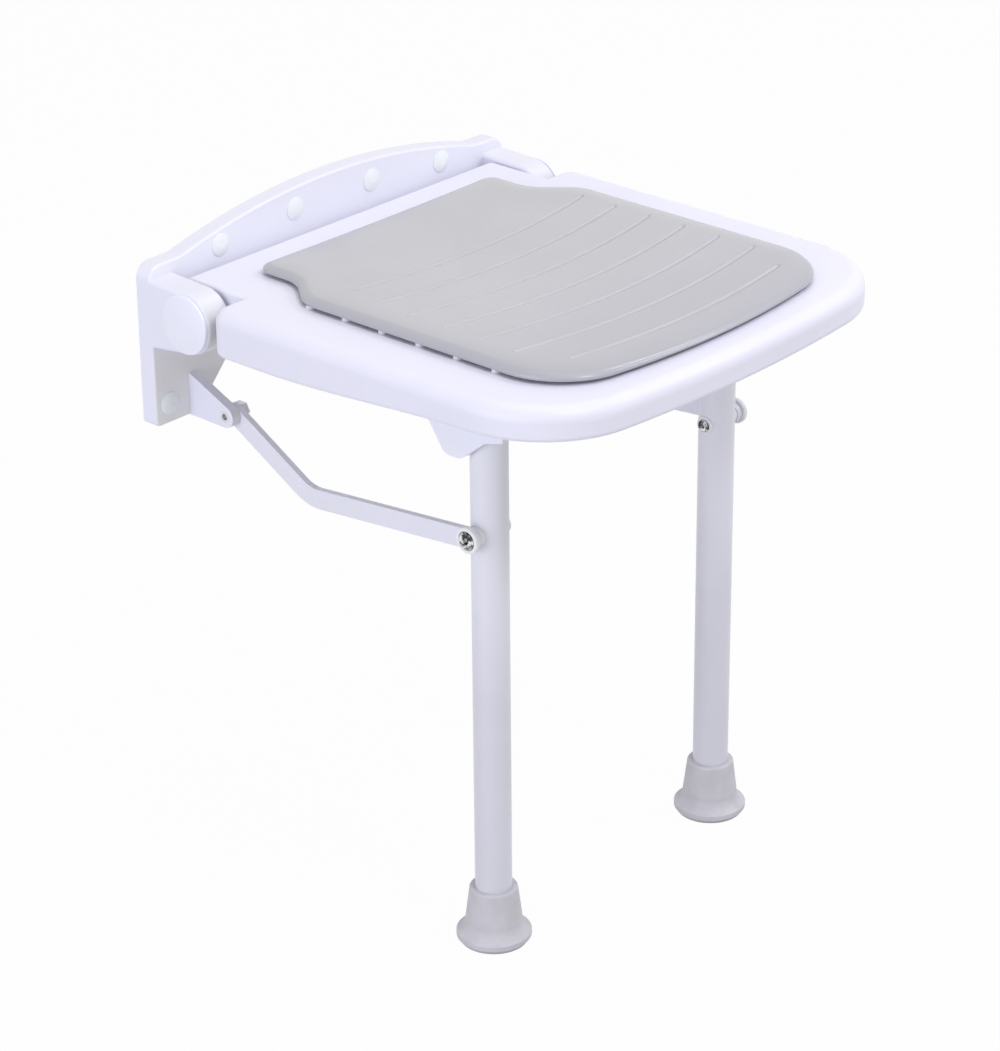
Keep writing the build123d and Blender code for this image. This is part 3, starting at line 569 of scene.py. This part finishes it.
# grid lines, close together at each groove, at the grooves' ends and along the rim
def cutGrid(bm, p, runs):
    half, rearHalf = p["width"] / 2, p["rearWidth"] / 2
    reach = p["grooveWidth"] / 2
    for line, _ in runs:
        for k in range(-p["grooveCuts"], p["grooveCuts"] + 1):
            cutAcross(bm, (0, line + reach * k / p["grooveCuts"], 0), (0, 1, 0))
        for share in p["betweenGrooves"]:
            cutAcross(bm, (0, line + share * p["groovePitch"], 0), (0, 1, 0))
    rearLines = int((p["neckEnd"] - p["rear"]) / p["gridRear"])
    for k in range(1, rearLines + 1):
        cutAcross(bm, (0, -p["rear"] - k * p["gridRear"], 0), (0, 1, 0))
    for inset in p["rollCuts"]:
        cutAcross(bm, (0, -p["front"] + inset, 0), (0, 1, 0))
        for side in (-1, 1):
            cutAcross(bm, (side * (half - inset), 0, 0), (1, 0, 0))
            cutAcross(bm, (side * (rearHalf - inset), 0, 0), (1, 0, 0))
    sideLines = int(half / p["gridAcross"])
    for k in range(-sideLines, sideLines + 1):
        cutAcross(bm, (k * p["gridAcross"], 0, 0), (1, 0, 0))
    for end in (p["grooveHalf"], p["lastGrooveHalf"]):
        for k in range(p["fadeCuts"] + 1):
            for side in (-1, 1):
                cutAcross(bm, (side * (end - p["grooveFade"] * k / p["fadeCuts"]), 0, 0), (1, 0, 0))


# press the grooves and dish the top
def pressTop(bm, p, runs):
    half, reach = p["width"] / 2, p["grooveWidth"] / 2
    crest = p["underside"] + p["thickness"]
    for v in bm.verts:
        rise = (v.co.z - p["underside"]) / p["thickness"]
        x, y = v.co.x, v.co.y
        if v.co.z > crest - tiny:
            for line, end in runs:
                away = abs(y - line) / reach
                left = min(1, (end - abs(x)) / p["grooveFade"])
                if away < 1 and left > 0:
                    press = 0.5 * (1 + math.cos(math.pi * away)) * left * left * (3 - 2 * left)
                    v.co.z -= p["grooveDepth"] * press
        v.co.z -= p["dish"] * max(0, 1 - (x / half) ** 2) * max(0, rise)


# each groove takes the groove material, with its painted highlight and painted shade, short of its ends
def markGrooves(bm, p, runs):
    upward = 0.3             # a top face's normal rises more than this
    for face in bm.faces:
        x, y = face.calc_center_median().xy
        for line, end in runs:
            inside = abs(y - line) < p["grooveWidth"] / 2 and abs(x) < end - p["grooveBareEnd"]
            if inside and face.normal.z > upward:
                face.material_index = 1


# roll the top down towards the rim
def rollRim(bm, p, outline):
    nearRim = rimFinder(outline)
    for v in bm.verts:
        away = nearRim((v.co.x, v.co.y, 0)) / p["rollReach"]
        if away < 1:
            rise = (v.co.z - p["underside"]) / p["thickness"]
            v.co.z -= p["rollDrop"] * (1 - away) ** 2 * max(0, min(1, rise))


def makePad(p):
    bm = padPlan(p)
    outline = [Vector((v.co.x, v.co.y + grooveSweep(p, v.co.x), 0)) for v in bm.faces[:][0].verts]
    runs = grooveRuns(p)
    thickenPad(bm, p)
    cutGrid(bm, p, runs)
    pressTop(bm, p, runs)
    markGrooves(bm, p, runs)
    for v in bm.verts:
        v.co.y += grooveSweep(p, v.co.x)
    rollRim(bm, p, outline)
    bmesh.ops.remove_doubles(bm, verts=bm.verts[:], dist=10 * tiny)
    bmesh.ops.recalc_face_normals(bm, faces=bm.faces[:])
    for face in bm.faces:
        face.smooth = True
    mesh = bpy.data.meshes.new("padSkin")
    bm.to_mesh(mesh)
    bm.free()
    pad = bpy.data.objects.new("padSkin", mesh)
    scene.collection.objects.link(pad)
    mesh.materials.append(padSkin)
    mesh.materials.append(padGrooveLightAndShade)
    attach(pad, "seat")
    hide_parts("seat_pad")
    return pad


pad = makePad(padShape)
print("pad made:", len(pad.data.polygons), "faces")

# studio: pale floor, even light all round and five soft lamps
coolWhite = (0.90, 0.905, 1.0)
studio = {
    "floorSize": 14.0, "floorTone": (0.62, 0.62, 0.62), "floorGlow": 0.975,
    "dayTone": (1.0, 0.993, 0.985), "dayLevel": 0.58,
    "lamps": [
        # name, place, aim, width and height, watts, tone
        ("lampRight", (1.6, -1.5, 1.5), (0.0, -0.25, -0.1), (0.7, 0.7), 12.0, coolWhite),
        ("lampLeft", (-2.3, -0.3, 0.2), (0.0, -0.2, -0.1), (1.6, 1.6), 18.0, (0.83, 0.86, 1.0)),
        ("lampTop", (0.1, -0.3, 2.3), (0.0, -0.2, 0.0), (1.8, 1.8), 6.0, coolWhite),
        ("lampFront", (-0.3, -1.9, 2.1), (0.0, -0.05, 0.0), (0.7, 0.7), 19.0, coolWhite),
        # a narrow one for the bright line along the pad's front rim
        ("lampRim", (1.53, -0.39, 1.92), (0.05, -0.37, 0.03), (0.25, 0.6), 4.5, coolWhite),
    ],
}


# 1 for what the camera, a reflection or glass sees, and 0 for light on the object
def seenMask(tree, at):
    path = put(tree, "ShaderNodeLightPath", at)
    first = put(tree, "ShaderNodeMath", (at[0] + 220, at[1]), operation="MAXIMUM")
    second = put(tree, "ShaderNodeMath", (at[0] + 420, at[1]), operation="MAXIMUM")
    plug(
        tree,
        (path.outputs["Is Camera Ray"], first.inputs[0]),
        (path.outputs["Is Glossy Ray"], first.inputs[1]),
        (first.outputs[0], second.inputs[0]),
        (path.outputs["Is Transmission Ray"], second.inputs[1]),
    )
    return second.outputs[0]


def buildDay(s):
    world = bpy.data.worlds.new("studioDay")
    world.use_nodes = True
    scene.world = world
    tree = world.node_tree
    tree.nodes.clear()
    day = put(tree, "ShaderNodeBackground", (0, 100), Color=(*s["dayTone"], 1), Strength=s["dayLevel"])
    white = put(tree, "ShaderNodeBackground", (0, -100), Color=(1, 1, 1, 1), Strength=1.0)
    mix = put(tree, "ShaderNodeMixShader", (260, 0))
    out = put(tree, "ShaderNodeOutputWorld", (460, 0))
    plug(
        tree,
        (seenMask(tree, (-700, 300)), mix.inputs[0]),
        (day.outputs[0], mix.inputs[1]),
        (white.outputs[0], mix.inputs[2]),
        (mix.outputs[0], out.inputs["Surface"]),
    )


def buildFloor(s):
    mat = bpy.data.materials.new("paleFloor")
    mat.use_nodes = True
    tree = mat.node_tree
    tree.nodes.clear()
    paint = put(tree, "ShaderNodeBsdfDiffuse", (0, 100), Color=(*s["floorTone"], 1))
    glow = put(tree, "ShaderNodeEmission", (0, -100), Color=(1, 1, 1, 1), Strength=1.0)
    share = put(tree, "ShaderNodeMath", (0, 300), operation="MULTIPLY")
    share.inputs[1].default_value = s["floorGlow"]
    mix = put(tree, "ShaderNodeMixShader", (260, 0))
    out = put(tree, "ShaderNodeOutputMaterial", (460, 0))
    plug(
        tree,
        (seenMask(tree, (-700, 300)), share.inputs[0]),
        (share.outputs[0], mix.inputs[0]),
        (paint.outputs[0], mix.inputs[1]),
        (glow.outputs[0], mix.inputs[2]),
        (mix.outputs[0], out.inputs["Surface"]),
    )
    bm = bmesh.new()
    bmesh.ops.create_grid(bm, x_segments=1, y_segments=1, size=s["floorSize"] / 2)
    bmesh.ops.translate(bm, verts=bm.verts[:], vec=(0, 0, floorHeight))
    mesh = bpy.data.meshes.new("paleFloor")
    bm.to_mesh(mesh)
    bm.free()
    mesh.materials.append(mat)
    floor = bpy.data.objects.new("paleFloor", mesh)
    scene.collection.objects.link(floor)


def hangLamps(s):
    for name, place, aim, size, watts, tone in s["lamps"]:
        data = bpy.data.lights.new(name, "AREA")
        data.shape = "ELLIPSE"
        data.size, data.size_y = size
        data.energy, data.color = watts, tone
        lamp = bpy.data.objects.new(name, data)
        scene.collection.objects.link(lamp)
        lamp.location = place
        lamp.rotation_mode = "QUATERNION"
        lamp.rotation_quaternion = (Vector(aim) - Vector(place)).to_track_quat("-Z", "Y")


buildDay(studio)
buildFloor(studio)
hangLamps(studio)
print("studio lit")
